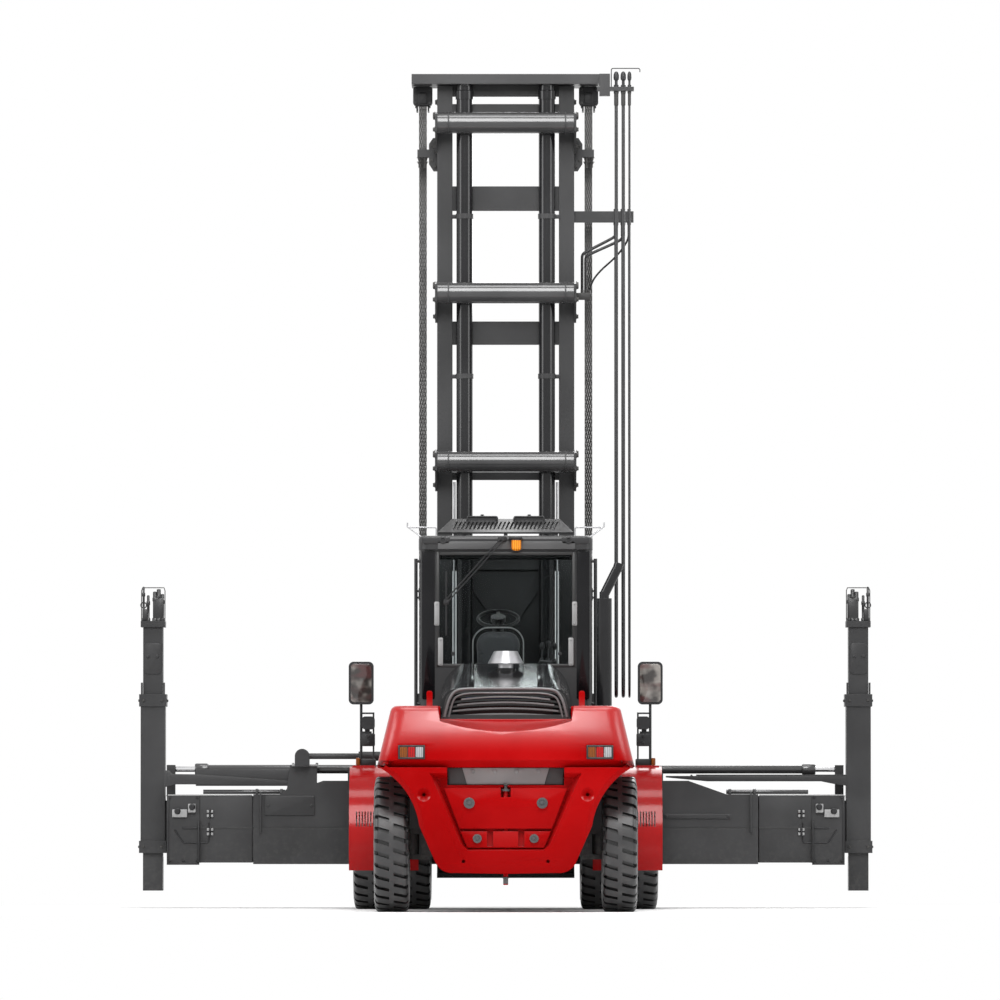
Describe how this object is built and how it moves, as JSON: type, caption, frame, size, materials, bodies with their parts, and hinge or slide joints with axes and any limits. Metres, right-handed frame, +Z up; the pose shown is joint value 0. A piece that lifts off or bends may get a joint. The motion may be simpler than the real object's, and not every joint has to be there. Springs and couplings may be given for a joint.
{
  "type": "empty container handler",
  "caption": "Empty container handler with a tall mast, a telescoping side spreader at its 20 ft setting, a cab, twin drive tyres and a red counterweight.",
  "frame": {"origin": "on the floor under the middle of the machine", "axes": "+Y forward towards the mast and spreader, +X to the driver's right, +Z up"},
  "size_m": [6.004, 5.3298, 6.77],
  "materials": {
    "body_red": "gloss",
    "dark_grey": "satin",
    "cab_grey": "satin",
    "gloss_black": "gloss",
    "rim_paint": "satin",
    "tyre": "matte",
    "glass": "clear",
    "iron": "matte",
    "chrome": "polished",
    "steel": "satin",
    "plastic": "matte",
    "hose_rubber": "matte",
    "seat_cloth": "matte",
    "lamp_red": "gloss",
    "lamp_amber": "gloss",
    "cast_red": "painted"
  },
  "bodies": {
    "chassis": {"chassis_frame": "dark_grey", "side_tanks": "dark_grey", "engine_block": "iron", "engine_panels": "dark_grey", "drive_axle": "iron", "steer_axle": "iron", "drive_fenders": "body_red", "counterweight_upper": "cast_red", "counterweight_lower": "cast_red", "tail_lamps": "lamp_red", "grille": "gloss_black", "radiator": "plastic", "cab_floor": "cab_grey", "cab_rear_wall": "cab_grey", "cab_front_wall": "cab_grey", "cab_glass": "glass", "cab_roof": "cab_grey", "roof_guard": "cab_grey", "seat": "seat_cloth", "controls": "plastic", "exhaust": "gloss_black", "handrails": "plastic", "mirrors": "plastic", "beacon": "lamp_amber"},
    "hood": {"hood": "gloss_black", "precleaner": "steel"},
    "door_left": {"door_left": "cab_grey", "door_glass_left": "glass"},
    "door_right": {"door_right": "cab_grey", "door_glass_right": "glass"},
    "drive_wheel_left": {"drive_tyres_left": "tyre", "drive_rims_left": "rim_paint"},
    "drive_wheel_right": {"drive_tyres_right": "tyre", "drive_rims_right": "rim_paint"},
    "knuckle_left": {"knuckle_left": "iron"},
    "knuckle_right": {"knuckle_right": "iron"},
    "steer_wheel_left": {"steer_tyre_left": "tyre", "steer_rim_left": "rim_paint"},
    "steer_wheel_right": {"steer_tyre_right": "tyre", "steer_rim_right": "rim_paint"},
    "tilt_barrels": {"tilt_barrels": "dark_grey"},
    "tilt_rods": {"tilt_rods": "chrome"},
    "outer_mast": {"outer_mast": "dark_grey", "lift_barrels": "dark_grey", "chains_rear": "steel", "hose_1": "hose_rubber", "hose_2": "hose_rubber", "hose_3": "hose_rubber"},
    "inner_mast": {"inner_mast": "dark_grey", "lift_rods": "chrome", "chains_front": "steel"},
    "carriage": {"carriage": "dark_grey"},
    "spreader": {"spreader_beam": "dark_grey"},
    "arm_left": {"arm_left": "dark_grey"},
    "arm_right": {"arm_right": "dark_grey"},
    "leg_left": {"leg_left": "dark_grey"},
    "leg_right": {"leg_right": "dark_grey"}
  },
  "joints": [
    {"name": "drive_spin_left", "type": "hinge", "parent": "chassis", "child": "drive_wheel_left", "pos_m": [-0.915, 1.185, 0.5275], "axis": [1, 0, 0], "continuous": true},
    {"name": "drive_spin_right", "type": "hinge", "parent": "chassis", "child": "drive_wheel_right", "pos_m": [0.915, 1.185, 0.5275], "axis": [1, 0, 0], "continuous": true},
    {"name": "steer_left", "type": "hinge", "parent": "chassis", "child": "knuckle_left", "pos_m": [-0.733, -1.815, 0.5275], "axis": [0, 0, 1], "range_deg": [-60, 60]},
    {"name": "steer_right", "type": "hinge", "parent": "chassis", "child": "knuckle_right", "pos_m": [0.733, -1.815, 0.5275], "axis": [0, 0, 1], "range_deg": [-60, 60]},
    {"name": "steer_spin_left", "type": "hinge", "parent": "knuckle_left", "child": "steer_wheel_left", "pos_m": [-0.888, -1.815, 0.5275], "axis": [1, 0, 0], "continuous": true},
    {"name": "steer_spin_right", "type": "hinge", "parent": "knuckle_right", "child": "steer_wheel_right", "pos_m": [0.888, -1.815, 0.5275], "axis": [1, 0, 0], "continuous": true},
    {"name": "hood_open", "type": "hinge", "parent": "chassis", "child": "hood", "pos_m": [0, -1.965, 1.79], "axis": [1, 0, 0], "range_deg": [0, 60]},
    {"name": "door_open_left", "type": "hinge", "parent": "chassis", "child": "door_left", "pos_m": [-0.68, -0.455, 2], "axis": [0, 0, 1], "range_deg": [0, 80]},
    {"name": "door_open_right", "type": "hinge", "parent": "chassis", "child": "door_right", "pos_m": [0.68, -0.455, 2], "axis": [0, 0, -1], "range_deg": [0, 80]},
    {"name": "mast_tilt", "type": "hinge", "parent": "chassis", "child": "outer_mast", "pos_m": [0, 1.365, 0.4], "axis": [-1, 0, 0], "range_deg": [-4, 3]},
    {"name": "tilt_barrel_swing", "type": "hinge", "parent": "chassis", "child": "tilt_barrels", "pos_m": [0, 0.545, 0.85], "axis": [-1, 0, 0], "range_deg": [-0.2874, 0.217]},
    {"name": "tilt_rod_stroke", "type": "slide", "parent": "tilt_barrels", "child": "tilt_rods", "axis": [0, 0.9925, 0.1225], "range_m": [-0.03829, 0.02875]},
    {"name": "mast_lift", "type": "slide", "parent": "outer_mast", "child": "inner_mast", "axis": [0, 0, 1], "range_m": [0, 3.7]},
    {"name": "carriage_lift", "type": "slide", "parent": "inner_mast", "child": "carriage", "axis": [0, 0, 1], "range_m": [0, 3.7], "deforming": ["chains_front"]},
    {"name": "side_shift", "type": "slide", "parent": "carriage", "child": "spreader", "axis": [1, 0, 0], "range_m": [-0.3, 0.3]},
    {"name": "telescope_left", "type": "slide", "parent": "spreader", "child": "arm_left", "axis": [-1, 0, 0], "range_m": [0, 3.05]},
    {"name": "telescope_right", "type": "slide", "parent": "spreader", "child": "arm_right", "axis": [1, 0, 0], "range_m": [0, 3.05]},
    {"name": "leg_lift_left", "type": "slide", "parent": "arm_left", "child": "leg_left", "axis": [0, 0, 1], "range_m": [0, 0.25]},
    {"name": "leg_lift_right", "type": "slide", "parent": "arm_right", "child": "leg_right", "axis": [0, 0, 1], "range_m": [0, 0.25]}
  ],
  "couplings": [
    {"joint": "steer_right", "follows": "steer_left", "ratio": 1},
    {"joint": "tilt_barrel_swing", "follows": "mast_tilt", "ratio": 0.07041},
    {"joint": "tilt_rod_stroke", "follows": "mast_tilt", "m_per_rad": 0.54708},
    {"joint": "carriage_lift", "follows": "mast_lift", "ratio": 1},
    {"joint": "telescope_right", "follows": "telescope_left", "ratio": 1},
    {"joint": "leg_lift_right", "follows": "leg_lift_left", "ratio": 1}
  ]
}
